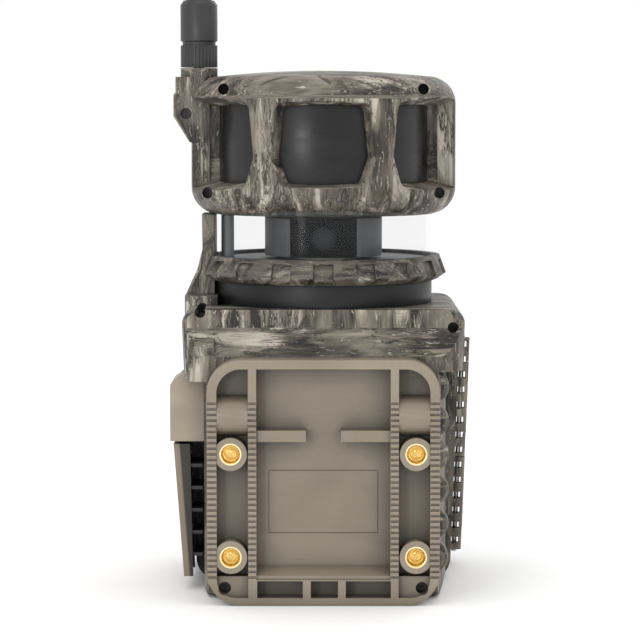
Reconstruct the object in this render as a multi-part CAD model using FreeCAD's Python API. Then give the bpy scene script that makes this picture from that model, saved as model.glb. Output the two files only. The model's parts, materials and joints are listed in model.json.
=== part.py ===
import FreeCAD, Part
import math
import os

# Panoramic cellular trail camera on a tree-mount plate.
# Millimetres, +Z up. The origin is on the turret axis, on the flat bottom of the base.
# The battery door faces -Y, the tree-mount plate faces +Y, the antenna and latch are on +X,
# and the door hinge is on -X.

# ---- driving dimensions ----
HEAD_R = 53.7
HEAD_BOTTOM = 150.0
HEAD_TOP = 205.6
HEAD_CROWN = 2.3
HEAD_FILLET = 11.0
HEAD_DEPTH_RATIO = 0.875
HEAD_CAVITY_R = 42.4
HEAD_FOOT_R = 40.8
HEAD_FOOT_TOP = 160.0
HEAD_FLOOR = 3.0

WINDOW_COUNT = 6
WINDOW_LOW = 164.0
WINDOW_HIGH = 193.0
WINDOW_OUTLINE = ((-14.6, 193.0), (14.6, 193.0), (17.2, 173.6), (12.7, 164.0), (-12.7, 164.0), (-17.2, 173.6))
FRAME_GROWTH = 12.0

DECK_LOW = 129.6
DECK_TOP = 132.0
COLLAR_LOW = 123.3
COLLAR_TOP = 133.5
COLLAR_POCKETS = 18
TUBE_R = 43.9
TUBE_TOP = 153.0
BAND_R = 44.2
SPINE_HALF = 12.5

TURRET_R = 23.9
TURRET_LOW = 133.2
TURRET_HIGH = 148.6
LENS_Z = 140.4
HUB_R = 12.0
RUN = 0.05

GEAR_TEETH = 50
PINION_TEETH = 14
GEAR_MODULE = 0.8
GEAR_LOW = 125.6
GEAR_HIGH = 128.8
MOTOR_ANGLE = 215.0

BASE_TOP = 114.2
BASE_HALF_BOTTOM = 51.7
BASE_TAPER = 0.0371
BASE_BACK = 50.0
BASE_FRONT = -52.0
DOOR_SEAM = -30.0
WALL = 2.4
GAP = 0.3

PLATE_HALF = 45.2
PLATE_TOP = 95.9
PLATE_FACE = 62.0
PLATE_FLOOR = 53.0
PLATE_CORNER = 13.0
INSERT_X = 36.0
INSERT_Z = (18.8, 59.1)
INSERT_BORE = 2.6
PLATE_SCREW = (38.4, 6.4)
CABLE_Z = 73.5
CABLE_Y = 57.0
CABLE_R = 4.0

HINGE_OFFSET = 3.4
HINGE_R = 3.0
HINGE_PIN_R = 1.0
LATCH_X = 58.2
LATCH_Z = 79.0
LATCH_BARREL_R = 3.2
LATCH_PIN_R = 1.3
LATCH_RECESS = 47.6
LATCH_OUTER_TOP = 61.0
LATCH_OUTER_SLOPE = 0.075
FLANK = 50.0
SCALE_CENTRE = (-42.8, 36.0)
SCALE_R = 7.0
SCALE_COUNT = 6
SCALE_PITCH = 13.6

ANTENNA_X = 50.5
ANTENNA_TOP = 404.0

CELL_R = 7.1
CELL_PITCH = 15.3
CELL_LOW = 9.8
CELL_LENGTH = 50.5
CELL_ROWS = (-10.9, -26.3)
TRAY_HALF = 46.4

X_AXIS = FreeCAD.Vector(1, 0, 0)
Y_AXIS = FreeCAD.Vector(0, 1, 0)
Z_AXIS = FreeCAD.Vector(0, 0, 1)


# ---- building blocks ----
def vec(x, y, z):
    return FreeCAD.Vector(x, y, z)


def box(x0, x1, y0, y1, z0, z1):
    return Part.makeBox(x1 - x0, y1 - y0, z1 - z0, vec(x0, y0, z0))


def rod(r, a, b):
    """A round bar from point a to point b."""
    start = vec(*a)
    run = vec(*b).sub(start)
    return Part.makeCylinder(r, run.Length, start, run)


def ring(outer, inner, z0, z1):
    return rod(outer, (0, 0, z0), (0, 0, z1)).cut(rod(inner, (0, 0, z0 - 1), (0, 0, z1 + 1)))


def prism(points, direction):
    """A straight extrusion of a closed polygon of 3-D points."""
    wire = Part.makePolygon([vec(*p) for p in points] + [vec(*points[0])])
    return Part.Face(wire).extrude(vec(*direction))


def prism_xz(points, y0, y1):
    return prism([(x, y0, z) for x, z in points], (0, y1 - y0, 0))


def prism_yz(points, x0, x1):
    return prism([(x0, y, z) for y, z in points], (x1 - x0, 0, 0))


def upright(points, z0, z1):
    """A straight extrusion along Z of a closed polygon in plan."""
    return prism([(x, y, z0) for x, y in points], (0, 0, z1 - z0))


def union(shapes):
    shapes = list(shapes)
    return shapes[0].multiFuse(shapes[1:]).removeSplitter()


def round_edges(shape, radius, wanted):
    """Fillets the edges that the test picks, or leaves the shape as it is where they refuse."""
    edges = [edge for edge in shape.Edges if wanted(edge)]
    if not edges:
        return shape
    rounded = shape.makeFillet(radius, edges)
    return rounded if not rounded.isNull() and rounded.isValid() else shape


def along(direction):
    """A test for straight edges that run along a direction."""
    def test(edge):
        ends = [vertex.Point for vertex in edge.Vertexes]
        if len(ends) != 2 or not isinstance(edge.Curve, Part.Line):
            return False
        run = ends[1].sub(ends[0])
        return run.Length > 0.01 and abs(abs(run.dot(direction)) / run.Length - 1) < 0.02
    return test


def rounded_slab(half, z0, z1, y0, y1, corner):
    """A plate in the XZ plane with rounded corners."""
    return round_edges(box(-half, half, y0, y1, z0, z1), corner, along(Y_AXIS))


def turned(profile):
    """A solid of revolution about Z from (radius, height) points."""
    wire = Part.makePolygon([vec(r, 0, z) for r, z in profile] + [vec(profile[0][0], 0, profile[0][1])])
    return Part.Face(wire).revolve(vec(0, 0, 0), Z_AXIS, 360)


def spun(shape, degrees):
    copy = shape.copy()
    copy.rotate(vec(0, 0, 0), Z_AXIS, degrees)
    return copy


def around(shape, count, start=0.0):
    return [spun(shape, start + 360.0 * i / count) for i in range(count)]


def keep_y(shape, y0, y1):
    return shape.common(box(-90, 90, y0, y1, -10, 420))


def base_half(z):
    return BASE_HALF_BOTTOM + BASE_TAPER * z


def gear_outline(teeth, z0, z1, bore, phase):
    """A spur gear with involute flanks and a little backlash."""
    pitch = GEAR_MODULE * teeth / 2
    base = pitch * math.cos(math.radians(20))
    tip = pitch + 0.9 * GEAR_MODULE
    root = pitch - 1.25 * GEAR_MODULE
    backlash = 0.12

    def involute(radius):
        angle = math.acos(min(1.0, base / radius))
        return math.tan(angle) - angle

    half = math.pi / (2 * teeth) - backlash / (2 * pitch)
    steps = 5
    radii = [root + (tip - root) * i / (steps - 1) for i in range(steps)]
    flank = [(r, half + involute(pitch) - involute(max(r, base))) for r in radii]
    points = []
    for tooth in range(teeth):
        centre = phase + 2 * math.pi * tooth / teeth
        for r, a in flank:
            points.append((r, centre - a))
        for r, a in reversed(flank):
            points.append((r, centre + a))
    blank = prism([(r * math.cos(a), r * math.sin(a), z0) for r, a in points], (0, 0, z1 - z0))
    return blank.cut(rod(bore, (0, 0, z0 - 1), (0, 0, z1 + 1)))


# ---- sensor head ----
def head_form():
    """The outer form of the head: a puck with a crowned top and rounded rims."""
    r, z0, z1, f = HEAD_R, HEAD_BOTTOM, HEAD_TOP, HEAD_FILLET
    s = f * (1 - math.sqrt(0.5))
    edges = [
        Part.makeLine(vec(0, 0, z0), vec(r - f, 0, z0)),
        Part.Arc(vec(r - f, 0, z0), vec(r - s, 0, z0 + s), vec(r, 0, z0 + f)).toShape(),
        Part.makeLine(vec(r, 0, z0 + f), vec(r, 0, z1 - f)),
        Part.Arc(vec(r, 0, z1 - f), vec(r - s, 0, z1 - s), vec(r - f, 0, z1)).toShape(),
        Part.Arc(vec(r - f, 0, z1), vec((r - f) / 2, 0, z1 + 0.75 * HEAD_CROWN),
                 vec(0, 0, z1 + HEAD_CROWN)).toShape(),
        Part.makeLine(vec(0, 0, z1 + HEAD_CROWN), vec(0, 0, z0)),
    ]
    puck = spun(Part.Face(Part.Wire(edges)).revolve(vec(0, 0, 0), Z_AXIS, 360), 60)
    # The head is shallower from front to back than it is wide.
    squeeze = FreeCAD.Matrix()
    squeeze.scale(1, HEAD_DEPTH_RATIO, 1)
    return puck.transformGeometry(squeeze)


def rounded_wire(points, radius):
    """A closed wire in 3-D through the polygon's corners, each rounded by an arc."""
    points = [vec(*p) for p in points]
    edges, first, last = [], None, None
    for index, corner in enumerate(points):
        back = points[index - 1].sub(corner).normalize()
        ahead = points[(index + 1) % len(points)].sub(corner).normalize()
        half = math.acos(max(-1.0, min(1.0, back.dot(ahead)))) / 2
        reach = radius / math.tan(half)
        start, end = corner.add(back * reach), corner.add(ahead * reach)
        inward = back.add(ahead).normalize()
        middle = corner.add(inward * (radius / math.sin(half) - radius))
        if last is None:
            first = start
        else:
            edges.append(Part.makeLine(last, start))
        edges.append(Part.Arc(start, middle, end).toShape())
        last = end
    edges.append(Part.makeLine(last, first))
    return Part.Wire(edges)


def window_cutter():
    """One flared window opening that faces +Y."""
    middle_z = (WINDOW_LOW + WINDOW_HIGH) / 2

    def grown(amount, y):
        points = []
        for x, z in WINDOW_OUTLINE:
            grow_z = amount * 0.42 if z > middle_z else -amount * 0.42
            if WINDOW_LOW < z < WINDOW_HIGH:
                grow_z = 0.0
            points.append((x + math.copysign(amount, x), y, z + grow_z))
        return rounded_wire(points, 2.4 + 0.3 * amount)

    neck = Part.makeLoft([grown(0, 34), grown(0, 38.3)], True, True)
    flare = Part.makeLoft([grown(0, 38.2), grown(FRAME_GROWTH, 55.5)], True, True)
    return neck.fuse(flare)


def antenna_block():
    """The side block that carries the antenna, with its neck."""
    outline = ((47.2, 205.4), (59.8, 205.4), (59.8, 199.2), (60.7, 198.2), (60.7, 189.5), (54.2, 179), (47.2, 179))
    block = prism_xz(outline, -8.5, 8.5)
    block = round_edges(block, 2.0, lambda e: min(v.X for v in e.Vertexes) > 53 and not along(Y_AXIS)(e)
                        and not along(X_AXIS)(e))
    neck = rod(7.5, (ANTENNA_X, 0, 205), (ANTENNA_X, 0, 209.0))
    return block.fuse(neck).removeSplitter()


def head_screw_places():
    return [(side * x, z) for side in (-1, 1) for x, z in ((39.5, 200.3), (46.3, 159.0))]


def screw(x, z, head_y, tip_y, head_r=2.0, shank_r=1.25):
    """A pan-head screw along Y, with its head at head_y and a cross recess."""
    way = 1 if head_y > tip_y else -1
    head = rod(head_r, (x, head_y - way * 1.6, z), (x, head_y, z))
    shank = rod(shank_r, (x, head_y - way * 1.4, z), (x, tip_y, z))
    low, high = sorted((head_y, head_y - way * 0.8))
    cross = box(x - 1.2, x + 1.2, low, high, z - 0.25, z + 0.25)
    cross = cross.fuse(box(x - 0.25, x + 0.25, low, high, z - 1.2, z + 1.2))
    return head.fuse(shank).cut(cross)


def make_head(parts):
    # The cavity is narrower at its foot, where the clear tube's groove comes up beside it.
    hollow = rod(HEAD_FOOT_R, (0, 0, HEAD_BOTTOM + HEAD_FLOOR), (0, 0, HEAD_FOOT_TOP + 1))
    hollow = hollow.fuse(rod(HEAD_CAVITY_R, (0, 0, HEAD_FOOT_TOP), (0, 0, 197)))
    hollow = hollow.fuse([rod(34, (0, 0, 196), (0, 0, 204)), rod(4.0 + RUN, (0, 0, 140), (0, 0, 160)),
                          ring(TUBE_R, TUBE_R - 2.0, HEAD_BOTTOM - 5, TUBE_TOP)])
    # The round faces' seams are turned away from the parting plane.
    body = head_form().cut(spun(hollow, 60))
    # The two side posts stay full where the windows' flares run out.
    side_posts = [box(side * 53 - 7, side * 53 + 7, -8, 8, 140, 220) for side in (-1, 1)]
    for cutter in around(window_cutter(), WINDOW_COUNT):
        body = body.cut(cutter.cut(side_posts))
    block = antenna_block()
    body = body.cut(block)
    body = body.cut(rod(2.6, (39.1, 0, 140), (39.1, 0, 160)))

    seal = seal_ring(head_form_shrunk(5.0), head_form_shrunk(6.4))
    seal = seal.cut(block).cut(box(38, 60, -9.5, 9.5, 178, 208))
    seal = seal.cut(rod(4.8, (0, 0, 140), (0, 0, 160))).cut(rod(3.2, (39.1, 0, 140), (39.1, 0, 160)))
    seal = seal.cut(ring(TUBE_R + 0.2, TUBE_R - 2.2, 140, TUBE_TOP + 0.2))
    screws, wells = [], []
    for x, z in head_screw_places():
        screws.append(screw(x, z, 14.0, -11.0))
        wells.append(rod(2.2, (x, 14.0 - 1.6, z), (x, 60, z)))
        wells.append(rod(1.25, (x, -11.0, z), (x, 13.0, z)))
        seal = seal.cut(rod(3.0, (x, -2, z), (x, 2, z)))
    wells = union(wells)
    front = keep_y(body, -60, 0).cut(seal).cut(wells)
    rear = keep_y(body, 0, 60).cut(wells)
    parts["head_front_shell"] = front
    parts["head_rear_shell"] = rear
    parts["head_seal"] = seal
    block = block.cut(rod(3.1, (ANTENNA_X, 0, 198), (ANTENNA_X, 0, 210)))
    mount_well = rod(2.2, (55.5, 5.0, 190.6), (55.5, 12, 190.6)).fuse(
        rod(1.25, (55.5, -5, 190.6), (55.5, 6, 190.6)))
    parts["antenna_mount"] = block.cut(mount_well)
    screws.append(screw(55.5, 190.6, 6.6, -5.0))
    parts["head_screws"] = Part.makeCompound(screws)

    pane = ring(HEAD_CAVITY_R - 0.1, HEAD_CAVITY_R - 2.1, 161.5, 195.5)
    wedge_x = 60 * math.tan(math.radians(27.0))
    wedge = prism([(0, 0, 150), (wedge_x, 60, 150), (-wedge_x, 60, 150)], (0, 0, 60))
    panes = around(pane.common(wedge), WINDOW_COUNT)
    parts["sensor_windows"] = Part.makeCompound(panes)

    hexagon = [(30 / math.cos(math.radians(30)) * math.cos(math.radians(60 * i)),
                30 / math.cos(math.radians(30)) * math.sin(math.radians(60 * i)), 157.8) for i in range(6)]
    bracket = prism(hexagon, (0, 0, 34)).cut(rod(24, (0, 0, 150), (0, 0, 200)))
    parts["sensor_bracket"] = bracket
    can = rod(4.6, (0, 30.0, 177.5), (0, 34.2, 177.5)).fuse(rod(5.2, (0, 30.0, 177.5), (0, 30.8, 177.5)))
    parts["motion_sensors"] = Part.makeCompound(around(can, WINDOW_COUNT))
    board = rod(38, (0, 0, 156), (0, 0, 157.6)).cut(rod(6, (0, 0, 150), (0, 0, 160)))
    parts["head_board"] = board.cut(rod(3.4, (39.1, 0, 150), (39.1, 0, 160)))


def head_form_shrunk(inset):
    """The head's outer form with its skin moved inward."""
    r, z0, z1 = HEAD_R - inset, HEAD_BOTTOM + inset * 0.4, HEAD_TOP - inset * 0.4
    return round_edges(rod(r, (0, 0, z0), (0, 0, z1)), 6.0, lambda e: len(e.Vertexes) == 1)


def seal_ring(outer, inner):
    """A flat seal in a groove of the front half, along the parting plane."""
    return outer.cut(inner).common(box(-90, 90, -1.0, 0, 140, 210))


# ---- antenna ----
def make_antenna(parts):
    x = ANTENNA_X
    core = rod(3.1, (x, 0, 198), (x, 0, 209)).fuse(rod(2.2, (x, 0, 208), (x, 0, 216)))
    parts["antenna_connector"] = core
    bore = rod(2.2 + RUN, (x, 0, 205), (x, 0, 216.3))
    nut = rod(7.45, (x, 0, 209.3), (x, 0, 218.1))
    grooves = [rod(0.45, (x + 7.6 * math.cos(a), 7.6 * math.sin(a), 209),
                   (x + 7.6 * math.cos(a), 7.6 * math.sin(a), 219))
               for a in (2 * math.pi * i / 30 for i in range(30))]
    nut = nut.cut(Part.makeCompound(grooves)).cut(bore)
    parts["antenna_nut"] = nut
    profile = ((0, 218.1), (6.7, 218.1), (6.7, 219.4), (7.5, 220.0), (7.5, 234.4), (6.2, 236.2), (5.2, 236.2),
               (5.2, 238), (0, 238))
    sleeve = turned(profile)
    sleeve.translate(vec(x, 0, 0))
    parts["antenna_sleeve"] = sleeve
    whip = turned(((0, 238), (5.6, 238), (5.6, 262), (4.9, 270), (4.5, ANTENNA_TOP - 4),
                   (3.2, ANTENNA_TOP - 0.8), (0, ANTENNA_TOP)))
    whip.translate(vec(x, 0, 0))
    parts["antenna_whip"] = whip


# ---- collar, deck, clear window and spine ----
def spine_form():
    outline = ((44, HEAD_BOTTOM), (49.2, HEAD_BOTTOM), (49.0, 136), (51.0, 128), (55.6, 118), (44, 118))
    form = prism_xz(outline, -SPINE_HALF, SPINE_HALF)
    form = round_edges(form, 3.0, lambda e: min(v.X for v in e.Vertexes) > 48.5 and not along(Y_AXIS)(e)
                       and abs(e.Vertexes[0].Z - e.Vertexes[1].Z) > 3)
    return form.cut(rod(BAND_R + 0.1, (0, 0, 100), (0, 0, 160)))


def make_collar(parts):
    spine = spine_form()
    collar = turned(((41.0, COLLAR_LOW), (45.1, COLLAR_LOW), (46.8, 124.0), (50.0, 126.2), (47.3, COLLAR_TOP),
                     (44.0, COLLAR_TOP), (44.0, DECK_LOW - 0.1), (41.0, DECK_LOW - 0.1)))
    pocket_half = 47 * math.tan(math.radians(4.6))
    pocket = prism([(47.6, -pocket_half, 125.0), (47.6, pocket_half, 125.0), (54, pocket_half + 0.8, 125.0),
                    (54, -pocket_half - 0.8, 125.0)], (0, 0, 7.0))
    pocket.rotate(vec(48.6, 0, 128.5), Y_AXIS, -17)
    for cutter in around(pocket, COLLAR_POCKETS, 10.0):
        collar = collar.cut(cutter)
    collar = collar.cut(box(43.5, 60, -SPINE_HALF - 0.1, SPINE_HALF + 0.1, 120, 140))
    collar = collar.cut(rod(2.6, (39.1, 0, 120), (39.1, 0, 140)))
    parts["collar_ring"] = collar
    parts["spine_cover"] = spine

    deck = rod(TUBE_R - 0.1, (0, 0, DECK_LOW), (0, 0, DECK_TOP)).cut(rod(14.5, (0, 0, 120), (0, 0, 140)))
    deck = deck.cut(rod(2.6, (39.1, 0, 120), (39.1, 0, 140)))
    parts["deck_plate"] = deck
    bush = ring(14.5, HUB_R + RUN, DECK_LOW, DECK_TOP).fuse(ring(16.0, HUB_R + RUN, DECK_TOP, DECK_TOP + 0.5))
    parts["turret_bearing"] = bush.removeSplitter()
    parts["clear_window"] = ring(TUBE_R, TUBE_R - 2.0, DECK_TOP, TUBE_TOP)
    parts["cable_conduit"] = rod(2.6, (39.1, 0, 112), (39.1, 0, 160))
    parts["infrared_band"] = ring(BAND_R, BAND_R - 2.5, BASE_TOP, COLLAR_LOW)

    led_board = ring(41.6, 36.0, 117.0, 118.6).cut(rod(2.7, (39.1, 0, 110), (39.1, 0, 120)))
    parts["led_board"] = led_board
    led = rod(1.5, (0, 36.5, 120.1), (0, 41.3, 120.1))
    leds = around(led, 24, 7.5)
    parts["infrared_leds"] = Part.makeCompound(leds)


# ---- turret and its drive ----
def make_turret(parts):
    body = rod(TURRET_R, (0, 0, TURRET_LOW), (0, 0, TURRET_HIGH))
    for side in (-1, 1):
        body = body.cut(box(-30, 30, min(side * 18.8, side * 30), max(side * 18.8, side * 30), 130, 150))
    body = body.cut(box(-13.5, 13.5, 16.6, 30, 130, 150))
    body = body.cut(box(-12.0, 12.0, -10, 17, 134.8, 147.0))
    hub = ring(HUB_R, 8.0, 124.9, TURRET_LOW)
    pivot = rod(4.0, (0, 0, TURRET_HIGH), (0, 0, 152.5))
    parts["turret_body"] = union([body, hub, pivot])
    parts["turret_window"] = box(-13.4, 13.4, 16.7, 18.8, 133.4, 148.4)
    z = LENS_Z
    barrel = rod(5.4, (0, 4.0, z), (0, 13.0, z)).fuse(rod(5.0, (0, 12, z), (0, 15.8, z)))
    parts["lens_barrel"] = barrel.cut(rod(3.8, (0, 3, z), (0, 13.4, z))).cut(rod(4.3, (0, 13.4, z), (0, 17, z)))
    parts["lens_glass"] = rod(4.25, (0, 13.5, z), (0, 17.0, z)).common(Part.makeSphere(7.6, vec(0, 8.7, z)))
    parts["image_sensor_board"] = box(-11.5, 11.5, 1.0, 2.6, 135.2, 146.6).fuse(
        box(-3.6, 3.6, 2.6, 3.8, 137.0, 144.2))

    parts["turret_gear"] = gear_outline(GEAR_TEETH, GEAR_LOW, GEAR_HIGH, HUB_R, 0.0)
    centre_distance = GEAR_MODULE * (GEAR_TEETH + PINION_TEETH) / 2
    angle = math.radians(MOTOR_ANGLE)
    mx, my = centre_distance * math.cos(angle), centre_distance * math.sin(angle)
    # The pinion is phased so that one of its gaps faces the gear tooth nearest the line of centres.
    gear_step = 2 * math.pi / GEAR_TEETH
    lead = (angle / gear_step - round(angle / gear_step)) * gear_step
    pinion_phase = angle + math.pi + math.pi / PINION_TEETH + lead * GEAR_TEETH / PINION_TEETH
    pinion = gear_outline(PINION_TEETH, GEAR_LOW - 0.4, GEAR_HIGH, 1.5, pinion_phase)
    pinion.translate(vec(mx, my, 0))
    parts["motor_pinion"] = pinion.fuse(rod(1.5, (mx, my, 123.6), (mx, my, GEAR_HIGH))).removeSplitter()
    motor = rod(9.0, (mx, my, 110.5), (mx, my, 122.4)).fuse(rod(3.0, (mx, my, 109.5), (mx, my, 110.6)))
    ears = box(-13, 13, -3, 3, 121.4, 122.4)
    ears.rotate(vec(0, 0, 0), Z_AXIS, MOTOR_ANGLE + 90)
    ears.translate(vec(mx, my, 0))
    parts["pan_motor"] = motor.fuse(ears).cut(rod(1.5 + RUN, (mx, my, 121.5), (mx, my, 123)))
    plate = rod(35.5, (0, 0, 122.4), (0, 0, 124.4)).cut(rod(13, (0, 0, 120), (0, 0, 126)))
    plate = plate.cut(rod(1.5 + RUN, (mx, my, 120), (mx, my, 126)))
    posts = [rod(2.2, (33 * math.cos(a), 33 * math.sin(a), 124), (33 * math.cos(a), 33 * math.sin(a), DECK_LOW))
             for a in (math.radians(d) for d in (35, 95, 155, 275))]
    parts["drive_plate"] = union([plate] + posts)
    return mx, my


# ---- base housing ----
def base_form(inset, top, bottom):
    """The tapered box of the base with its skin moved inward."""
    def section(z):
        half = base_half(z) - inset
        y0, y1 = BASE_FRONT + inset + (BASE_TOP - z) * 0.012, BASE_BACK - inset
        return Part.makePolygon([vec(-half, y0, z), vec(half, y0, z), vec(half, y1, z), vec(-half, y1, z),
                                 vec(-half, y0, z)])
    form = Part.makeLoft([section(bottom), section(top)], True, True)
    corner = 10.0 - inset
    form = round_edges(form, corner, lambda e: abs(e.Vertexes[0].Z - e.Vertexes[1].Z) > 50)
    form = round_edges(form, 6.0 - inset * 0.9, lambda e: all(abs(v.Z - top) < 0.01 for v in e.Vertexes))
    form = round_edges(form, 9.4 - inset, lambda e: all(abs(v.Z - bottom) < 0.01 for v in e.Vertexes))
    slope = ((BASE_BACK - 4.6 - inset, top + 1), (BASE_BACK - 4.6 - inset, 107), (BASE_BACK - inset + 0.2, 95.6),
             (BASE_BACK + 5, 95.6), (BASE_BACK + 5, top + 1))
    return form.cut(prism_yz(slope, -80, 80))


def rear_outline(inset):
    """The slim plan of the rear shell from its hinge side to its latch side, narrowest at the plate."""
    hinge, latch, tail = FLANK - inset, LATCH_RECESS - inset, PLATE_HALF - 0.4 - inset
    return (-hinge, 8.0), (-tail, BASE_BACK + 1), (tail, BASE_BACK + 1), (latch, 30.0), (latch, 8.0)


def rear_side_cuts():
    """The stepped-in flanks of the rear shell: the latch's recess and the slimmer hinge side."""
    hinge, hinge_tail, latch_tail, latch_bend, latch = rear_outline(0.0)
    latch_side = upright((latch, (80, 8), (80, 60), (latch_tail[0], 60), latch_tail, latch_bend), -1.0, 86.0)
    hinge_side = upright((hinge, (-80, 8), (-80, 60), (hinge_tail[0], 60), hinge_tail), -1.0, 90.0)
    return latch_side.fuse(round_edges(hinge_side, 3.0, along(X_AXIS)))


def base_screw_places():
    """Each screw's X and Z, the Y of its head and the Y of its tip."""
    return ((-50.8, 107.1, 36.0, -12.0), (48.3, 113.0, 20.0, -12.0), (-30.0, 6.2, 40.0, -WALL + 0.2),
            (30.0, 6.2, 40.0, -WALL + 0.2))


def make_base(parts):
    outer = base_form(0.0, BASE_TOP, 0.0)
    inner = base_form(WALL, BASE_TOP - WALL, WALL)
    tower = prism_xz(((42.4, 104), (55.6, 104), (55.6, 117.9), (42.4, 117.9)), -SPINE_HALF, 24.0)
    tower = round_edges(tower, 3.0, lambda e: min(v.X for v in e.Vertexes) > 55 and along(Z_AXIS)(e))
    tower = tower.cut(rod(BAND_R + 0.1, (0, 0, BASE_TOP), (0, 0, 130)))
    roof_hole = rod(35.6, (0, 0, 105), (0, 0, 125)).fuse(rod(3.4, (39.1, 0, 105), (39.1, 0, 125)))
    slim = rear_outline(WALL)
    narrow = upright(((slim[0][0], -1),) + slim + ((slim[-1][0], -1),), 0, 88.4)
    narrow = narrow.fuse([box(-90, 90, -1, 80, 88.4, 130), box(-90, 90, -90, 5.6, 0, 130)])
    hollow = inner.common(narrow)
    solid = outer.fuse(tower).cut(rear_side_cuts())
    # Bark-like scales stand out along the slim flank.
    for index in range(SCALE_COUNT):
        scale = Part.makeSphere(SCALE_R, vec(*SCALE_CENTRE, 15.0 + SCALE_PITCH * index))
        solid = solid.fuse(scale)
    shell = solid.cut(hollow).cut(roof_hole)

    bosses, wells, screws = [], [], []
    for x, z, head_y, tip_y in base_screw_places():
        bosses.append(rod(4.0, (x, tip_y, z), (x, head_y + 2, z)).common(outer.fuse(tower)))
        wells.append(rod(2.1, (x, head_y - 1.6, z), (x, 70, z)))
        wells.append(rod(1.25, (x, tip_y, z), (x, head_y, z)))
        screws.append(screw(x, z, head_y, tip_y))
    wells = union(wells)
    parts["base_screws"] = Part.makeCompound(screws)

    posts = [rod(3.0, (x, 33.0, z), (x, 48, z)) for x in (-38, 36) for z in (20, 82)]
    knob = rod(4.3, (42.8, 46.6, 99.0), (50.4, 46.6, 99.0)).cut(inner)
    rear = keep_y(union([shell] + bosses), 0, 80)
    rear = union([rear, knob] + posts).cut(wells)
    parts["base_rear_shell"] = rear

    bulkhead = inner.common(box(-90, 90, -WALL, 0, 0, 112))
    bulkhead = bulkhead.cut(box(-20, 20, -9, 9, 92, 104))
    frame = keep_y(union([shell] + bosses), DOOR_SEAM, 0).fuse(bulkhead)
    frame = frame.cut(wells)
    seat = inner.cut(base_form(WALL + 2.2, BASE_TOP - WALL - 2.2, WALL + 2.2)).common(
        box(-90, 90, DOOR_SEAM, DOOR_SEAM + 3.0, 0, 120))
    frame = frame.fuse(seat)
    groove = base_form(1.3, BASE_TOP - 1.3, 1.3).cut(base_form(2.9, BASE_TOP - 2.9, 2.9)).common(
        box(-90, 90, DOOR_SEAM, DOOR_SEAM + 1.5, 0, 120))
    frame = frame.cut(groove)
    frame_knuckles, door_knuckles, pin = hinge_parts()
    frame = union([frame, frame_knuckles.cut(outer)] + latch_lug(outer))
    frame = frame.cut(pin)
    parts["base_front_frame"] = frame
    parts["door_seal"] = groove

    door = keep_y(outer, -80, DOOR_SEAM - GAP).cut(inner)
    ribs = [box(x - 0.8, x + 0.8, -60, -46.5, 6, 106) for x in (-34, -17, 0, 17, 34)]
    ribs = union(ribs).common(inner)
    panel_line = prism_xz(((-44, 9), (44, 9), (44, 104), (-44, 104)), -60, -51.2).cut(
        prism_xz(((-42.8, 10.2), (42.8, 10.2), (42.8, 102.8), (-42.8, 102.8)), -61, -50))
    door = door.cut(panel_line)
    door_knuckles = door_knuckles.cut(inner).cut(box(-90, 90, DOOR_SEAM - GAP, 80, -5, 120).common(outer))
    parts["battery_door"] = union([door, ribs, door_knuckles])
    parts["hinge_pin"] = pin


def hinge_parts():
    """Knuckles and pin, made upright and then leaned to follow the housing's taper."""
    axis_x = -(BASE_HALF_BOTTOM + HINGE_OFFSET)
    frame_spans = ((6.6, 15.6), (46.4, 55.6), (86.6, 96.6))
    door_spans = ((16.0, 46.0), (56.0, 86.2))

    def knuckle(z0, z1, side, radius):
        barrel = rod(radius, (axis_x, DOOR_SEAM, z0), (axis_x, DOOR_SEAM, z1))
        y0, y1 = sorted((DOOR_SEAM + side * (GAP + 0.2), DOOR_SEAM + side * radius))
        lug = box(axis_x, axis_x + 5.0, y0, y1, z0, z1)
        return barrel.fuse(lug)

    windows = []
    for index in range(14):
        z = 10.6 + 6.4 * index
        windows.append(box(axis_x - 1.8, axis_x + 1.8, DOOR_SEAM - 6, DOOR_SEAM + 6, z - 1.4, z + 1.4))
    windows = Part.makeCompound(windows)
    bore = rod(HINGE_PIN_R + RUN, (axis_x, DOOR_SEAM, -5), (axis_x, DOOR_SEAM, 110))
    frame_side = Part.makeCompound([knuckle(a, b, 1, HINGE_R) for a, b in frame_spans])
    door_side = Part.makeCompound([knuckle(a, b, -1, HINGE_R + 0.1) for a, b in door_spans])
    frame_side = frame_side.cut(windows)
    door_side = door_side.cut(windows).cut(bore)
    pin = rod(HINGE_PIN_R, (axis_x, DOOR_SEAM, 5.6), (axis_x, DOOR_SEAM, 97.6))
    lean = -math.degrees(math.atan(BASE_TAPER))
    for shape in (frame_side, door_side, pin):
        shape.rotate(vec(axis_x, DOOR_SEAM, 0), Y_AXIS, lean)
    return frame_side, door_side, pin


# ---- side latch ----
def latch_lug(outer):
    lug = box(52.0, LATCH_X, -22.0, -16.0, LATCH_Z - 3.0, LATCH_Z + 3.0)
    lug = lug.fuse(rod(3.0, (LATCH_X, -22.0, LATCH_Z), (LATCH_X, -16.0, LATCH_Z)))
    return [lug.cut(outer)]


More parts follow.
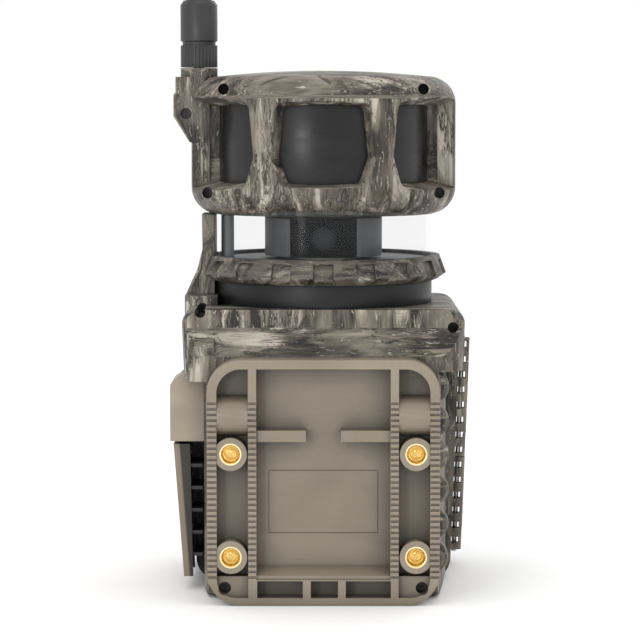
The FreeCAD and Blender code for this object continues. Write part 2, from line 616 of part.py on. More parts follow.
def make_latch(parts):
    block = box(LATCH_RECESS + 0.1, LATCH_OUTER_TOP + 0.2, 8.0, 30.0, 60.2, 85.6)
    block = round_edges(block, 4.0, lambda e: along(Y_AXIS)(e) and e.Vertexes[0].X > 60 and e.Vertexes[0].Z > 80)
    pin = rod(LATCH_PIN_R, (LATCH_X, -38.2, LATCH_Z), (LATCH_X, 16.0, LATCH_Z))
    parts["latch_bracket"] = block.cut(pin)
    parts["base_front_frame"] = parts["base_front_frame"].cut(pin)
    parts["latch_pin"] = pin

    front, middle, back = -38.0, 7.5, 27.5
    foot, knee, wing_top = 5.2, 72.0, 58.8

    def outer_x(z):
        return LATCH_OUTER_TOP - LATCH_OUTER_SLOPE * (knee - z)

    def inner_x(z):
        return base_half(z) + 0.7

    def strip(z0, z1, inset0, inset1, y0, y1):
        """A band of the lever between two heights, from its skin to some way inward."""
        return prism_xz(((outer_x(z0), z0), (outer_x(z1), z1), (inset1, z1), (inset0, z0)), y0, y1)

    skin = strip(foot, knee, outer_x(foot) - 1.8, outer_x(knee) - 2.0, front, middle)
    wing = strip(foot, wing_top, outer_x(foot) - 1.8, outer_x(wing_top) - 1.8, middle - 0.1, back)
    top = prism_xz(((LATCH_X, LATCH_Z + LATCH_BARREL_R), (LATCH_X + 2.0, LATCH_Z + 2.4), (outer_x(knee), knee),
                    (outer_x(knee) - 2.4, knee - 1)), front, middle)
    sides = [strip(foot, knee, inner_x(foot), inner_x(knee), y, y + 2.0) for y in (front, middle - 2.0)]
    sides += [prism_xz(((inner_x(knee), knee - 0.2), (outer_x(knee), knee - 0.2), (LATCH_X + 2.4, LATCH_Z),
                        (LATCH_X - 2.4, LATCH_Z)), y, y + 2.0) for y in (front, middle - 2.0)]
    sides.append(strip(foot, wing_top, 52.4, 53.4, back - 2.0, back))
    ribs = []
    for z in (14, 23, 32, 41, 50):
        ribs.append(strip(z - 0.7, z + 0.7, inner_x(z), inner_x(z), front + 1, middle - 1))
        ribs.append(strip(z - 0.7, z + 0.7, LATCH_RECESS + 0.9, LATCH_RECESS + 0.9, 9.0, back - 1))
    barrel = rod(LATCH_BARREL_R, (LATCH_X, front, LATCH_Z), (LATCH_X, middle, LATCH_Z))
    lever = union([skin, wing, top, barrel] + sides + ribs)
    lever = lever.cut(box(50, 70, -22.5, -15.5, 72.5, 90))
    parts["latch_lever"] = lever.cut(rod(LATCH_PIN_R + RUN, (LATCH_X, -50, LATCH_Z), (LATCH_X, 20, LATCH_Z)))


# ---- tree-mount plate ----
def make_plate(parts):
    plate = rounded_slab(PLATE_HALF, 0, PLATE_TOP, BASE_BACK, PLATE_FACE, PLATE_CORNER)
    deep = PLATE_FACE + 1
    centre_bay = box(-26, 26, PLATE_FLOOR, deep, 10.0, PLATE_TOP - 3.6)
    side_bay = round_edges(box(29.2, 41.4, PLATE_FLOOR, deep, 11.0, PLATE_TOP - 3.6), 9.5,
                           lambda e: along(Y_AXIS)(e) and e.Vertexes[0].X > 40 and e.Vertexes[0].Z > 80)
    foot_bay = round_edges(box(29.2, 41.4, PLATE_FACE - 3.0, deep, 3.0, 13.0), 7.0,
                           lambda e: along(Y_AXIS)(e) and e.Vertexes[0].X > 40 and e.Vertexes[0].Z < 5)
    mirror = [side_bay, side_bay.mirror(vec(0, 0, 0), X_AXIS), foot_bay, foot_bay.mirror(vec(0, 0, 0), X_AXIS)]
    plate = plate.cut(union([centre_bay] + mirror))
    ledge = prism_yz(((PLATE_FLOOR - 1, 9.0), (PLATE_FACE - 1, 9.0), (PLATE_FACE - 1, 11.5),
                      (PLATE_FLOOR - 1, 14.8)), -26.5, 26.5)
    additions = [ledge]
    for side in (-1, 1):
        for z in INSERT_Z:
            additions.append(rod(6.4, (side * INSERT_X, PLATE_FLOOR - 1, z), (side * INSERT_X, PLATE_FACE - 0.5, z)))
        low, high = sorted((side * 28.0, side * 43.0))
        barrel = rod(8.0, (low, 54.0, CABLE_Z), (high, 54.0, CABLE_Z))
        additions.append(barrel.common(box(-50, 50, BASE_BACK, PLATE_FACE, 0, 100)))
        low, high = sorted((side * 6.8, side * 27.0))
        additions.append(box(low, high, PLATE_FLOOR - 1, PLATE_FACE - 2, 66.2, 68.2))
        additions.append(box(low, high, PLATE_FACE - 4, PLATE_FACE - 2, 63.8, 68.2))
    plate = union([plate] + additions)

    pockets = [box(a, b, PLATE_FLOOR + 1, deep, 2.9, 9.6) for a, b in ((-26.2, -8.7), (-5.7, 4.9), (8.0, 25.7))]
    pitch, low, rows = 2.19, 10.6, 32
    notches = []
    for x0, x1 in ((-45.5, -41.4), (-29.2, -26), (26, 29.2), (41.4, 45.5)):
        for row in range(rows):
            z = low + pitch * row
            notches.append(box(x0 - 0.1, x1 + 0.1, PLATE_FACE - 0.8, deep, z, z + 1.0))
    label = box(-21.5, 21.5, PLATE_FLOOR - 0.3, PLATE_FLOOR + 0.3, 27, 52)
    label = label.cut(box(-21.1, 21.1, PLATE_FLOOR - 1, PLATE_FLOOR + 1, 27.4, 51.6))
    plate = plate.cut(Part.makeCompound(notches)).cut(union(pockets + [label]))

    cable = rod(CABLE_R, (-60, CABLE_Y, CABLE_Z), (60, CABLE_Y, CABLE_Z))
    inserts, insert_wells, screws, screw_wells = [], [], [], []
    for side in (-1, 1):
        for z in INSERT_Z:
            x = side * INSERT_X
            insert_wells.append(rod(4.3, (x, 51.5, z), (x, 70, z)))
            body = rod(4.3, (x, 51.5, z), (x, PLATE_FACE - 0.5, z))
            mouth = Part.makeCone(INSERT_BORE, 3.7, 2.6, vec(x, PLATE_FACE - 3.1, z), Y_AXIS)
            point = Part.makeCone(0.2, INSERT_BORE, 1.5, vec(x, 52.1, z), Y_AXIS)
            inserts.append(body.cut(rod(INSERT_BORE, (x, 53.6, z), (x, 70, z))).cut(mouth).cut(point))
        x, z = PLATE_SCREW
        screw_wells.append(rod(2.4, (side * x, PLATE_FLOOR, z), (side * x, 70, z)))
        screw_wells.append(rod(1.25, (side * x, 40, z), (side * x, 55, z)))
        screws.append(screw(side * x, z, PLATE_FLOOR + 1.6, 40.0))
    parts["plate_inserts"] = Part.makeCompound(inserts)
    parts["plate_screws"] = Part.makeCompound(screws)
    screw_wells = union(screw_wells)
    plate = plate.cut(cable).cut(union(insert_wells)).cut(screw_wells)
    parts["tree_plate"] = round_edges(plate, 0.8, plate_rim_edge)
    x, z = PLATE_SCREW
    bosses = [rod(3.6, (side * x, 39.0, z), (side * x, BASE_BACK - 1, z)) for side in (-1, 1)]
    parts["base_rear_shell"] = union([parts["base_rear_shell"]] + bosses).cut(screw_wells)


def plate_rim_edge(edge):
    """The long outer edges of the plate's face above the toothed rails."""
    box_ = edge.BoundBox
    on_face = abs(box_.YMin - PLATE_FACE) < 0.01 and abs(box_.YMax - PLATE_FACE) < 0.01
    return on_face and box_.ZMin > 82.5 and (box_.ZMax > PLATE_TOP - 0.05)


# ---- electronics and controls ----
def make_controls(parts):
    panel = box(-46, 46, -20.4, -18.0, 67.0, 106.0)
    panel = panel.cut(box(-40.3, -2.3, -21, -17, 71.7, 100.3))
    keypad_x, keypad_z, spread = 23.0, 88.0, 9.0
    keys = {
        "ok": (keypad_x, keypad_z), "up": (keypad_x, keypad_z + spread), "down": (keypad_x, keypad_z - spread),
        "left": (keypad_x - spread, keypad_z), "right": (keypad_x + spread, keypad_z),
    }
    for name, (x, z) in keys.items():
        panel = panel.cut(rod(3.4, (x, -22, z), (x, -16, z)))
        cap = rod(3.0, (x, -22.4, z), (x, -16.4, z)).fuse(rod(4.0, (x, -17.4, z), (x, -16.4, z)))
        parts["key_" + name] = cap
    panel = panel.cut(box(33.0, 45.0, -21, -17, 70.0, 73.4))
    parts["switch_knob"] = box(33.4, 37.0, -22.6, -16.4, 70.3, 73.1)
    panel = panel.cut(box(2.0, 27.0, -21, -17, 69.8, 72.4))
    parts["display"] = box(-40.0, -2.6, -20.2, -16.6, 72.0, 100.0)
    board = box(-45, 45, -14.6, -13.0, 67.4, 105.6)
    switches = [box(x - 3, x + 3, -15.2, -14.5, z - 3, z + 3) for x, z in keys.values()]
    parts["control_board"] = union([board] + switches)
    parts["memory_card"] = box(2.6, 26.6, -23.0, -16.0, 70.1, 72.1)
    places = [(x, z) for x in (-42.5, 42.5) for z in (77.0, 102.5)]
    parts["control_panel"] = union([panel] + [rod(2.2, (x, -18.4, z), (x, -14.6, z)) for x, z in places])
    stands = [rod(2.2, (x, -13.0, z), (x, -WALL + 0.2, z)) for x, z in places]
    parts["base_front_frame"] = union([parts["base_front_frame"]] + stands)

    main = box(-43, 42, 31.4, 33.0, 12, 92)
    parts["main_board"] = main
    parts["cellular_module"] = box(8, 38, 28.6, 31.4, 50, 82)
    parts["sim_holder"] = box(-34, -8, 29.2, 31.4, 60, 78)


def make_batteries(parts):
    columns = [CELL_PITCH * (i - 2.5) for i in range(6)]
    tray = box(-TRAY_HALF, TRAY_HALF, -34.6, -3.0, 5.2, 63.4)
    bores = [rod(CELL_R + 0.25, (x, y, 8.4), (x, y, 70)) for x in columns for y in CELL_ROWS]
    tray = tray.cut(union(bores)).cut(box(-42, 42, -36, -26.3, 16, 56))
    tray = round_edges(tray, 2.0, lambda e: along(Z_AXIS)(e) and e.Length > 50
                       and abs(abs(e.Vertexes[0].X) - TRAY_HALF) < 0.01)
    # The tray's foot follows the rounded inside of the housing, clear of the door's seat.
    tray = tray.common(base_form(WALL + 2.5, BASE_TOP - WALL - 2.5, WALL + 2.5))
    lower = [rod(5.0, (x, y, 8.4), (x, y, 9.0)) for x in columns for y in CELL_ROWS]
    upper = [box(x0 - 4, x0 + CELL_PITCH + 4, y - 3.2, y + 3.2, 61.2, 62.0) for x0 in columns[::2]
             for y in CELL_ROWS]
    parts["battery_tray"] = tray.cut(union(upper))
    parts["tray_contacts"] = Part.makeCompound(lower + upper)
    cells = []
    for x in columns:
        for y in CELL_ROWS:
            body = rod(CELL_R, (x, y, CELL_LOW), (x, y, CELL_LOW + CELL_LENGTH - 1.4))
            nub = rod(2.7, (x, y, CELL_LOW + CELL_LENGTH - 2), (x, y, CELL_LOW + CELL_LENGTH))
            cells.append(body.fuse(nub))
    parts["aa_batteries"] = Part.makeCompound(cells)
    lid = box(-TRAY_HALF, TRAY_HALF, -34.6, -3.0, 63.4, 65.2)
    parts["tray_lid"] = round_edges(lid, 2.0, lambda e: along(Z_AXIS)(e))


def main():
    os.makedirs("parts", exist_ok=True)
    parts = {}
    make_head(parts)
    make_antenna(parts)
    make_collar(parts)
    make_turret(parts)
    make_base(parts)
    make_latch(parts)
    make_plate(parts)
    make_controls(parts)
    make_batteries(parts)
    for name, shape in parts.items():
        print(name, len(shape.Solids), shape.isValid(), round(shape.Volume, 1))
        shape.exportStep("parts/" + name + ".step")


main()
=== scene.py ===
import bpy
import json
import math
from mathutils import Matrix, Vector


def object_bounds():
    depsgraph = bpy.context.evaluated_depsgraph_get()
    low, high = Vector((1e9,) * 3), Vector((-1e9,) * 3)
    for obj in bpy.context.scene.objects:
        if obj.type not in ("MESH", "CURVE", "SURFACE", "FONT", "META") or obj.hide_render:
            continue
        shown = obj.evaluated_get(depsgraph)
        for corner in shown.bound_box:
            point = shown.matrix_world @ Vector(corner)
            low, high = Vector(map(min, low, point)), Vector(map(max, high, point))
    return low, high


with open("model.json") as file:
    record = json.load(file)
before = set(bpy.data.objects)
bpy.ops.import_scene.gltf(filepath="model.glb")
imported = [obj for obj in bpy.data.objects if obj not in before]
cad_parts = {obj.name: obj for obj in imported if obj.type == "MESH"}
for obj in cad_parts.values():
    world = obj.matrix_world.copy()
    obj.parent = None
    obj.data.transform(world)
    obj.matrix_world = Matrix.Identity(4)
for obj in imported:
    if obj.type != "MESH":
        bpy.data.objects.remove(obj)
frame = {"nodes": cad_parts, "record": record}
cad_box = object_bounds()
NODES = frame["nodes"]
MM = 0.001

# Looks that follow the part's own dimensions, in millimetres.
LENS_CENTRE = (0.0, 0.0, 140.4)
LENS_DISC_RADIUS = 5.4
CELL_BAND_SPAN = 60

# Edges: near-coincident corners are welded, and the sharp ones softly broken.
WELD_REACH = 0.01 * MM
EDGE_BREAK = 0.28 * MM
EDGE_SEGMENTS = 2
SHARP_ANGLE = math.radians(38)
UNBROKEN_SLOTS = ("clear_window", "circuit_board", "screen")

OCCLUSION_SAMPLES = 8

# Stage, in metres: the floor lies just under the part.
FLOOR_SIZE = 12
FLOOR_GAP = 0.0002

# Area lights: name, place, size and power in watts. All of them point at LIGHT_AIM.
LIGHT_AIM = (0, 0, 0.11)
LIGHTS = (
    ("key_light", (0.55, 0.95, 0.75), (0.45, 0.5), 1.2),
    ("fill_light", (-0.8, 0.8, 0.45), (0.6, 0.6), 0.4),
    ("strip_light", (0.42, 1.0, 0.20), (0.14, 0.24), 1.9),
    ("front_light", (-0.5, -0.9, 0.7), (0.6, 0.6), 1.0),
    ("top_light", (0.0, 0.1, 1.1), (0.5, 0.5), 1.4),
)

# The viewer stands behind the part, a metre away and at the height of its head.
CAMERA_PLACE = (0.0, 1.035, 0.192)
CAMERA_AIM = (0.0014, 0.0, 0.1063)
CAMERA_LENS_MM = 142.6
CAMERA_SENSOR_MM = 36.0
CAMERA_CLIP_START = 0.05


# ---- shader helpers ----
class Shader:
    """A Principled material with short ways to add procedural layers."""

    def __init__(self, name):
        self.material = bpy.data.materials.new(name)
        self.material.use_nodes = True
        self.tree = self.material.node_tree
        self.bsdf = self.tree.nodes["Principled BSDF"]
        self.coords = self.tree.nodes.new("ShaderNodeTexCoord").outputs["Object"]

    def set(self, **values):
        for name, value in values.items():
            self.bsdf.inputs[name.replace("_", " ")].default_value = value
        return self

    def link(self, output, target):
        self.tree.links.new(output, target)

    def stretched(self, x, y, z, turn=0.0):
        """Object coordinates scaled per axis, in cycles per millimetre."""
        node = self.tree.nodes.new("ShaderNodeMapping")
        node.inputs["Scale"].default_value = (x / MM, y / MM, z / MM)
        node.inputs["Rotation"].default_value = (0, 0, turn)
        self.link(self.coords, node.inputs["Vector"])
        return node.outputs["Vector"]

    def lay_on_tops(self):
        """Turns the texture's long direction level wherever the surface faces upward."""
        normal = self.tree.nodes.new("ShaderNodeNewGeometry").outputs["Normal"]
        split = self.tree.nodes.new("ShaderNodeSeparateXYZ")
        self.link(normal, split.inputs["Vector"])
        place = self.tree.nodes.new("ShaderNodeSeparateXYZ")
        self.link(self.coords, place.inputs["Vector"])
        swapped = self.tree.nodes.new("ShaderNodeCombineXYZ")
        for source, target in (("X", "Z"), ("Y", "Y"), ("Z", "X")):
            self.link(place.outputs[source], swapped.inputs[target])
        facing = self.ramp(split.outputs["Z"], ((0.16, 0.0), (0.26, 1.0)))
        blend = self.tree.nodes.new("ShaderNodeMix")
        blend.data_type = "VECTOR"
        self.link(facing, blend.inputs["Factor"])
        a, b = [i for i in blend.inputs if i.type == "VECTOR" and i.name in "AB"]
        self.link(self.coords, a)
        self.link(swapped.outputs["Vector"], b)
        self.coords = [o for o in blend.outputs if o.type == "VECTOR"][0]
        return self

    def painted_recess_shade(self, colour, reach_mm, darkest):
        """Darkens a colour in corners and recesses as painted shade, from ambient occlusion."""
        node = self.tree.nodes.new("ShaderNodeAmbientOcclusion")
        node.samples = OCCLUSION_SAMPLES
        node.inputs["Distance"].default_value = reach_mm * MM
        painted_shade_tone = self.ramp(node.outputs["AO"], ((0.30, darkest), (0.90, 1.0)))
        return self.mix(1.0, colour, painted_shade_tone, "MULTIPLY")

    def fade(self, colour, direction, shaded_mm, unshaded_mm, shaded_tone):
        """Darkens a colour by place as painted shade: fully shaded at one distance along a
        direction, unshaded at another.
        """
        along = self.tree.nodes.new("ShaderNodeVectorMath")
        along.operation = "DOT_PRODUCT"
        along.inputs[1].default_value = direction
        self.link(self.coords, along.inputs[0])
        rise = self.tree.nodes.new("ShaderNodeMapRange")
        rise.inputs["From Min"].default_value = shaded_mm * MM
        rise.inputs["From Max"].default_value = unshaded_mm * MM
        self.link(along.outputs["Value"], rise.inputs["Value"])
        painted_shade_tone = self.ramp(rise.outputs["Result"], ((0.0, shaded_tone), (1.0, 1.0)))
        return self.mix(1.0, colour, painted_shade_tone, "MULTIPLY")

    def spot(self, centre_mm, radius_mm):
        """One at a point of the XZ plane and zero at a radius around it."""
        node = self.tree.nodes.new("ShaderNodeMapping")
        scale = 1 / (radius_mm * MM)
        node.inputs["Scale"].default_value = (scale, 0, scale)
        node.inputs["Location"].default_value = tuple(-c / radius_mm for c in centre_mm)
        self.link(self.coords, node.inputs["Vector"])
        gradient = self.tree.nodes.new("ShaderNodeTexGradient")
        gradient.gradient_type = "SPHERICAL"
        self.link(node.outputs["Vector"], gradient.inputs["Vector"])
        return gradient.outputs["Fac"]

    def noise(self, vector, detail=4.0, roughness=0.55, distortion=0.0):
        """Fractal noise, one cycle per unit of the vector."""
        node = self.tree.nodes.new("ShaderNodeTexNoise")
        node.inputs["Scale"].default_value = 1.0
        node.inputs["Detail"].default_value = detail
        node.inputs["Roughness"].default_value = roughness
        node.inputs["Distortion"].default_value = distortion
        self.link(vector, node.inputs["Vector"])
        return node.outputs["Fac"]

    def cells(self, vector, feature="F1"):
        """Distances in a cell pattern, one cell per unit of the vector."""
        node = self.tree.nodes.new("ShaderNodeTexVoronoi")
        node.feature = feature
        node.inputs["Scale"].default_value = 1.0
        self.link(vector, node.inputs["Vector"])
        return node.outputs["Distance"]

    def ramp(self, value, stops):
        """A colour ramp; stops are (place, colour) pairs, and a number stands for a grey."""
        node = self.tree.nodes.new("ShaderNodeValToRGB")
        elements = node.color_ramp.elements
        while len(elements) < len(stops):
            elements.new(0.5)
        for element, (place, colour) in zip(elements, stops):
            element.position = place
            grey = not hasattr(colour, "__len__")
            element.color = (colour, colour, colour, 1) if grey else (*colour, 1)
        self.link(value, node.inputs["Fac"])
        return node.outputs["Color"]

    def mix(self, factor, a, b, blend="MIX"):
        """Blends two colours, each an output of another node or a plain colour."""
        node = self.tree.nodes.new("ShaderNodeMix")
        node.data_type = "RGBA"
        node.blend_type = blend
        if isinstance(factor, float):
            node.inputs["Factor"].default_value = factor
        else:
            self.link(factor, node.inputs["Factor"])
        for socket, value in (("A", a), ("B", b)):
            target = [s for s in node.inputs if s.name == socket and s.type == "RGBA"][0]
            if hasattr(value, "is_output"):
                self.link(value, target)
            else:
                target.default_value = (*value, 1)
        return [s for s in node.outputs if s.type == "RGBA"][0]

    def colour(self, output):
        self.link(output, self.bsdf.inputs["Base Color"])
        return self

    def roughness(self, value, low, high):
        """Lets the roughness run from low to high with a value."""
        self.link(self.ramp(value, ((0.3, low), (0.7, high))), self.bsdf.inputs["Roughness"])
        return self

    def bump(self, height, depth_mm, strength=1.0):
        """Adds a bump on top of those already there."""
        node = self.tree.nodes.new("ShaderNodeBump")
        node.inputs["Strength"].default_value = strength
        node.inputs["Distance"].default_value = depth_mm * MM
        self.link(height, node.inputs["Height"])
        previous = self.bsdf.inputs["Normal"].links
        if previous:
            self.link(previous[0].from_socket, node.inputs["Normal"])
        self.link(node.outputs["Normal"], self.bsdf.inputs["Normal"])
        return self


def srgb(r, g, b):
    """Linear colour from 8-bit display values."""
    def line(v):
        v /= 255
        return v / 12.92 if v <= 0.04045 else ((v + 0.055) / 1.055) ** 2.4
    return (line(r), line(g), line(b))


def shades(tone):
    """A maker of display colours that are all scaled by one tone."""
    return lambda r, g, b: tuple(c * tone for c in srgb(r, g, b))


# ---- materials ----
def camouflage(name, tone=1.0):
    """A bark-like film: upright ridges, dark fissures, pale flecks and patches of plain tan."""
    shade = shades(tone)
    s = Shader(name).lay_on_tops()
    slow = s.noise(s.stretched(0.045, 0.045, 0.022), 3, 0.55, 0.4)
    colour = s.ramp(slow, ((0.34, shade(92, 83, 72)), (0.46, shade(112, 104, 92)),
                           (0.56, shade(142, 133, 118)), (0.66, shade(106, 99, 85))))

    ridge = s.noise(s.stretched(0.14, 0.14, 0.018), 5, 0.55, 1.2)
    ridge_colour = s.ramp(ridge, ((0.40, shade(28, 24, 21)), (0.45, shade(86, 77, 67)),
                                  (0.53, shade(134, 125, 111)), (0.62, shade(200, 191, 175))))
    cover = s.noise(s.stretched(0.06, 0.06, 0.03), 3, 0.55, 0.3)
    colour = s.mix(s.ramp(cover, ((0.38, 0.15), (0.54, 1.0))), colour, ridge_colour)

    fine = s.noise(s.stretched(0.7, 0.7, 0.08), 5, 0.65, 0.8)
    fine_grey = s.ramp(fine, ((0.34, 0.20), (0.50, 0.5), (0.68, 0.80)))
    colour = s.mix(0.34, colour, fine_grey, "OVERLAY")

    cracked = s.noise(s.stretched(0.06, 0.06, 0.04), 2, 0.5)
    where = s.ramp(cracked, ((0.42, 0.0), (0.50, 1.0)))
    level = 0.49
    for width, length, thin in ((0.20, 0.022, 0.012), (0.42, 0.040, 0.020)):
        fissure = s.noise(s.stretched(width, width, length), 4, 0.55, 1.6)
        line = s.ramp(fissure, ((level - 2 * thin, 0.0), (level - thin, 1.0),
                                (level, 1.0), (level + thin, 0.0)))
        colour = s.mix(s.mix(1.0, line, where, "MULTIPLY"), colour, shade(26, 22, 20))

    patch = s.noise(s.stretched(0.10, 0.10, 0.035), 6, 0.68, 1.2)
    colour = s.mix(s.ramp(patch, ((0.57, 0.0), (0.62, 0.85))), colour, shade(50, 44, 38))
    fleck = s.noise(s.stretched(0.8, 0.8, 0.20), 4, 0.6, 1.2)
    colour = s.mix(s.ramp(fleck, ((0.62, 0.0), (0.67, 0.85))), colour, shade(196, 190, 174))

    # The ambient-occlusion term paints shade into the corners and recesses.
    s.colour(s.painted_recess_shade(colour, 7, 0.45)).set(Specular_IOR_Level=0.45)
    s.roughness(fine, 0.42, 0.62)
    s.bump(ridge, 0.15, 0.5).bump(fine, 0.04, 0.4)
    return s.material


def moulded(name, colour, roughness=0.5, grain=0.02, variation=0.10, specular=0.45):
    """Moulded plastic with a fine spark grain and a slow change of tone."""
    s = Shader(name)
    slow = s.noise(s.stretched(0.03, 0.03, 0.03), 3)
    fine = s.noise(s.stretched(1.5, 1.5, 1.5), 3)
    dark = tuple(c * (1 - variation) for c in colour)
    light = tuple(min(1.0, c * (1 + variation)) for c in colour)
    s.colour(s.mix(0.12, s.ramp(slow, ((0.35, dark), (0.65, light))),
                   s.ramp(fine, ((0.3, dark), (0.7, light)))))
    s.set(Specular_IOR_Level=specular)
    s.roughness(fine, roughness - 0.06, roughness + 0.06)
    s.bump(fine, grain, 0.5)
    return s.material


def tan_plastic(name, tone=1.0, fade=None):
    """Tan housing plastic with faint flow marks.

    The painted shade by place is a direction, the two distances along it in millimetres between
    which the tone rises from shaded to unshaded, and the shaded tone.
    """
    shade = shades(tone)
    s = Shader(name)
    flow = s.noise(s.stretched(0.020, 0.02, 0.035), 3, 0.5, 0.6)
    colour = s.ramp(flow, ((0.30, shade(124, 113, 98)), (0.52, shade(136, 125, 109)),
                           (0.72, shade(144, 133, 117))))
    grain = s.noise(s.stretched(1.8, 1.8, 1.8), 4, 0.6)
    speckle = s.ramp(grain, ((0.3, shade(100, 90, 77)), (0.7, shade(166, 155, 138))))
    colour = s.mix(0.08, colour, speckle)
    # Painted shade by place along a direction, for a side that lies in shadow.
    if fade:
        colour = s.fade(colour, *fade)
    # The ambient-occlusion term paints shade into the corners and recesses.
    s.colour(s.painted_recess_shade(colour, 12, 0.40)).set(Specular_IOR_Level=0.5)
    s.roughness(grain, 0.38, 0.50)
    s.bump(grain, 0.02, 0.4)
    return s.material


def satin_black(name, colour, roughness, coat=0.0, specular=0.5):
    """Dark tinted plastic with faint wipe marks."""
    s = Shader(name)
    wipe = s.noise(s.stretched(0.05, 0.05, 0.2), 5, 0.6, 0.5)
    dark = tuple(c * 0.85 for c in colour)
    light = tuple(c * 1.2 for c in colour)
    s.colour(s.ramp(wipe, ((0.3, dark), (0.7, light))))
    s.set(Specular_IOR_Level=specular, Coat_Weight=coat, Coat_Roughness=0.12)
    s.roughness(wipe, roughness - 0.05, roughness + 0.07)
    return s.material


def metal(name, colour, roughness, brushed=(0.4, 0.4, 3.0)):
    """Bare or plated metal with turning or brushing marks."""
    s = Shader(name)
    marks = s.noise(s.stretched(*brushed), 5, 0.65)
    dark = tuple(c * 0.82 for c in colour)
    s.colour(s.ramp(marks, ((0.3, dark), (0.7, colour))))
    s.set(Metallic=1.0)
    s.roughness(marks, roughness - 0.06, roughness + 0.10)
    s.bump(marks, 0.02, 0.4)
    return s.material


def clear_plastic():
    """The clear tube: nearly invisible polycarbonate with polished faces."""
    s = Shader("clear_polycarbonate")
    s.set(Base_Color=(0.20, 0.21, 0.22, 1), Alpha=0.03, Specular_IOR_Level=0.4)
    s.roughness(s.noise(s.stretched(0.02, 0.02, 0.02), 2), 0.05, 0.08)
    s.material.surface_render_method = "BLENDED"
    return s.material


def lens_panel():
    """The turret's dark window, through which the lens shows as a soft disc."""
    s = Shader("panel_gloss")
    wipe = s.noise(s.stretched(0.06, 0.06, 0.06), 4)
    dark = s.ramp(wipe, ((0.3, srgb(12, 12, 13)), (0.7, srgb(18, 18, 19))))
    disc = s.ramp(s.spot(LENS_CENTRE, LENS_DISC_RADIUS), ((0.0, 0.0), (0.30, 0.45), (0.7, 0.7)))
    s.colour(s.mix(disc, dark, srgb(66, 66, 70))).set(Specular_IOR_Level=0.14)
    s.roughness(wipe, 0.3, 0.4)
    return s.material


def circuit_board():
    """Green solder mask with faint tracks and bright pads."""
    s = Shader("solder_mask")
    tracks = s.cells(s.stretched(0.35, 0.35, 0.35), "DISTANCE_TO_EDGE")
    green = s.ramp(tracks, ((0.03, srgb(44, 112, 66)), (0.07, srgb(18, 66, 38))))
    pads = s.cells(s.stretched(0.5, 0.5, 0.5))
    s.colour(s.mix(s.ramp(pads, ((0.10, 1.0), (0.14, 0.0))), green, srgb(196, 190, 170)))
    s.set(Roughness=0.35, Coat_Weight=0.3)
    s.bump(tracks, 0.05, 0.3)
    return s.material


def battery_jacket():
    """Printed cell jackets: dark sleeve with a copper-coloured top band."""
    s = Shader("cell_jacket")
    axis = s.tree.nodes.new("ShaderNodeSeparateXYZ")
    s.link(s.coords, axis.inputs["Vector"])
    scale = s.tree.nodes.new("ShaderNodeMath")
    scale.operation = "DIVIDE"
    scale.inputs[1].default_value = CELL_BAND_SPAN * MM
    s.link(axis.outputs["Z"], scale.inputs[0])
    band = s.ramp(scale.outputs["Value"], ((0.74, srgb(22, 22, 24)),
                                           (0.75, srgb(190, 118, 62))))
    scuff = s.noise(s.stretched(0.5, 0.5, 0.2), 5)
    s.colour(s.mix(0.15, band, s.ramp(scuff, ((0.4, 0.05), (0.7, 0.4)))))
    s.set(Metallic=0.4)
    s.roughness(scuff, 0.26, 0.42)
    return s.material


def screen_glass():
    """The small display, switched off."""
    s = Shader("display_glass")
    glow = s.noise(s.stretched(0.05, 0.05, 0.05), 2)
    s.colour(s.ramp(glow, ((0.3, srgb(14, 20, 24)), (0.7, srgb(26, 36, 40)))))
    s.set(Roughness=0.08, Coat_Weight=0.6, Coat_Roughness=0.03)
    return s.material


MATERIALS = {
    "camo_shell": camouflage("camo_film", 0.78),
    "tan_plastic": tan_plastic("tan_moulding"),
    "infrared_black": satin_black("infrared_band", srgb(22, 22, 23), 0.42, specular=0.32),
    "sensor_dark": satin_black("sensor_film", srgb(24, 24, 25), 0.30, specular=0.32),
    "clear_window": clear_plastic(),
    "turret_grey": moulded("turret_grey", srgb(92, 93, 95), 0.5),
    "panel_black": lens_panel(),
    "lens_glass": satin_black("coated_lens", srgb(40, 42, 58), 0.07, 1.0),
    "deck_grey": moulded("deck_grey", srgb(136, 138, 140), 0.5),
    "black_plastic": moulded("black_plastic", srgb(44, 44, 45), 0.42, 0.03),
    "antenna_rubber": moulded("antenna_rubber", srgb(46, 46, 47), 0.42, 0.02),
    "seal_rubber": moulded("seal_rubber", srgb(34, 34, 36), 0.7),
    "steel": metal("zinc_steel", srgb(186, 186, 184), 0.30),
    "black_steel": metal("black_steel", srgb(62, 61, 60), 0.42),
    "brass": metal("brass", srgb(255, 234, 184), 0.18, (0.5, 3.0, 0.5)),
    "circuit_board": circuit_board(),
    "led_plastic": satin_black("led_epoxy", srgb(112, 108, 120), 0.15, 0.4),
    "white_nylon": moulded("white_nylon", srgb(226, 222, 208), 0.45),
    "motor_steel": metal("motor_can", srgb(176, 176, 178), 0.34),
    "screen": screen_glass(),
    "key_rubber": moulded("key_rubber", srgb(120, 120, 122), 0.6),
    "cell_jacket": battery_jacket(),
}


# Single pieces with a tone of their own. The collar ring's low tone is painted shade in its
# pockets, and the latch bracket's high tone is painted light on its lit face. The lever's inner
# side and the plate's floor get painted shade by place, because the studio light alone leaves them
# too bright.
VARIANTS = {
    # The ring's low tone is painted shade, for the shadow in its pockets.
    "collar_ring": camouflage("ring_film_painted_shade", 0.50),
    "antenna_mount": camouflage("mount_film", 0.80),
    # The bracket's high tone is painted light, for its brightly lit face.
    "latch_bracket": tan_plastic("bracket_moulding_painted_light", 1.6),
    # Painted shade by place: on the lever's inner side and on the plate's floor.
    "latch_lever": tan_plastic("lever_moulding_painted_shade", 1.05, ((1, 0, -0.075), 52.9, 53.7, 0.10)),
    "tree_plate": tan_plastic("plate_moulding_painted_shade", 1.0, ((0, 1, 0), 53.5, 61.0, 0.84)),
}


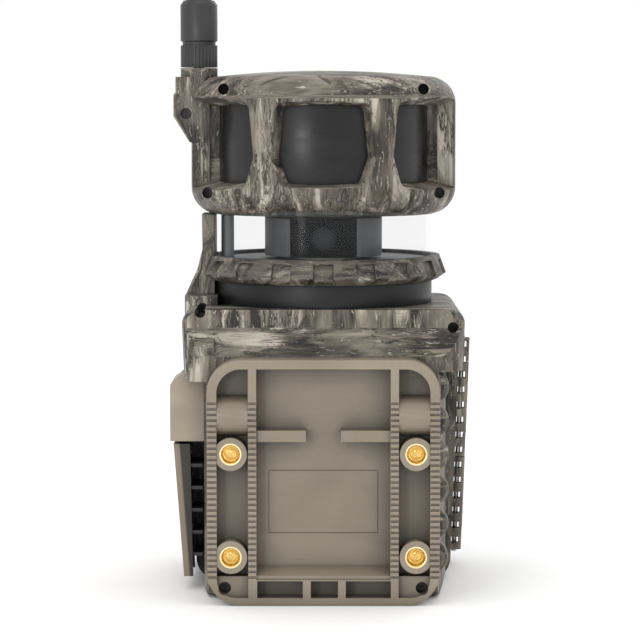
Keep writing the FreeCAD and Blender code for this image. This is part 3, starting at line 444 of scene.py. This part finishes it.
def dress_nodes():
    """Every CAD node gets its slot's material, and the moulded ones get softly broken edges."""
    slots = {part["node"]: part["material_slot"] for part in frame["record"]["subparts"]}
    for name, node in NODES.items():
        node.data.materials.clear()
        node.data.materials.append(VARIANTS.get(name, MATERIALS[slots[name]]))
        if slots[name] in UNBROKEN_SLOTS:
            continue
        weld = node.modifiers.new("weld", "WELD")
        weld.merge_threshold = WELD_REACH
        bevel = node.modifiers.new("edge_break", "BEVEL")
        bevel.limit_method = "ANGLE"
        bevel.angle_limit = SHARP_ANGLE
        bevel.width = EDGE_BREAK
        bevel.segments = EDGE_SEGMENTS
        bevel.use_clamp_overlap = True
        bevel.harden_normals = False


# ---- stage, light and camera ----
def build_stage():
    """A pale floor under the part and even white light all round it."""
    low = cad_box[0][2]
    bpy.ops.mesh.primitive_plane_add(size=FLOOR_SIZE, location=(0, 0, low - FLOOR_GAP))
    floor = bpy.context.object
    floor.name = "studio_floor"
    pale = Shader("pale_floor").set(Base_Color=(1, 1, 1, 1), Roughness=0.9)
    floor.data.materials.append(pale.material)
    world = bpy.data.worlds.new("studio")
    bpy.context.scene.world = world
    world.use_nodes = True
    background = world.node_tree.nodes["Background"]
    background.inputs["Color"].default_value = (1, 1, 1, 1)
    background.inputs["Strength"].default_value = 1.0


def aim_at(thing, place, target):
    """Puts a light or a camera at a place, looks at a target and adds it to the scene."""
    thing.location = place
    thing.rotation_euler = (Vector(target) - Vector(place)).to_track_quat("-Z", "Y").to_euler()
    bpy.context.scene.collection.objects.link(thing)


def build_lights():
    for name, place, size, power in LIGHTS:
        data = bpy.data.lights.new(name, "AREA")
        data.shape = "RECTANGLE"
        data.size, data.size_y = size
        data.energy = power
        aim_at(bpy.data.objects.new(name, data), place, LIGHT_AIM)


def build_camera():
    data = bpy.data.cameras.new("view_camera")
    data.sensor_width = CAMERA_SENSOR_MM
    data.lens = CAMERA_LENS_MM
    data.clip_start = CAMERA_CLIP_START
    camera = bpy.data.objects.new("view_camera", data)
    aim_at(camera, CAMERA_PLACE, CAMERA_AIM)
    bpy.context.scene.camera = camera


dress_nodes()
build_stage()
build_lights()
build_camera()
bpy.context.scene.view_settings.view_transform = "Standard"
